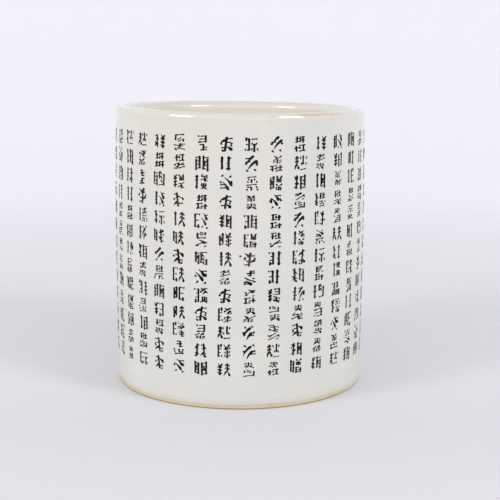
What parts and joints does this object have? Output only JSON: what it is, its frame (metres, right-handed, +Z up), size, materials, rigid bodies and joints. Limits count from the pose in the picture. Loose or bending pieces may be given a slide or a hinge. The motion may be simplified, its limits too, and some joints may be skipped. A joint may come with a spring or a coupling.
{
  "type": "brush holder pot",
  "caption": "Cylindrical porcelain brush pot with a thick rounded lip, a bare foot ring and columns of brush-written marks, open at the top to hold upright brushes.",
  "frame": {"origin": "on the pot's axis, in the plane that it stands on", "axes": "+Z up the pot's axis, out of its mouth; -Y faces the side with the best-kept marks"},
  "size_m": [0.126, 0.126, 0.138],
  "materials": {
    "foot_biscuit": "bare fired clay, matt, toasted beige",
    "porcelain": "fired white clay under the glaze",
    "glaze": "glossy ivory white, faintly mottled",
    "ink": "black enamel brush marks fired on the outside"
  },
  "bodies": {
    "root": {"foot_ring": "foot_biscuit", "wall": "porcelain", "floor_slab": "porcelain", "outer_glaze": "glaze", "inner_glaze": "glaze", "recess_glaze": "glaze"}
  },
  "joints": []
}
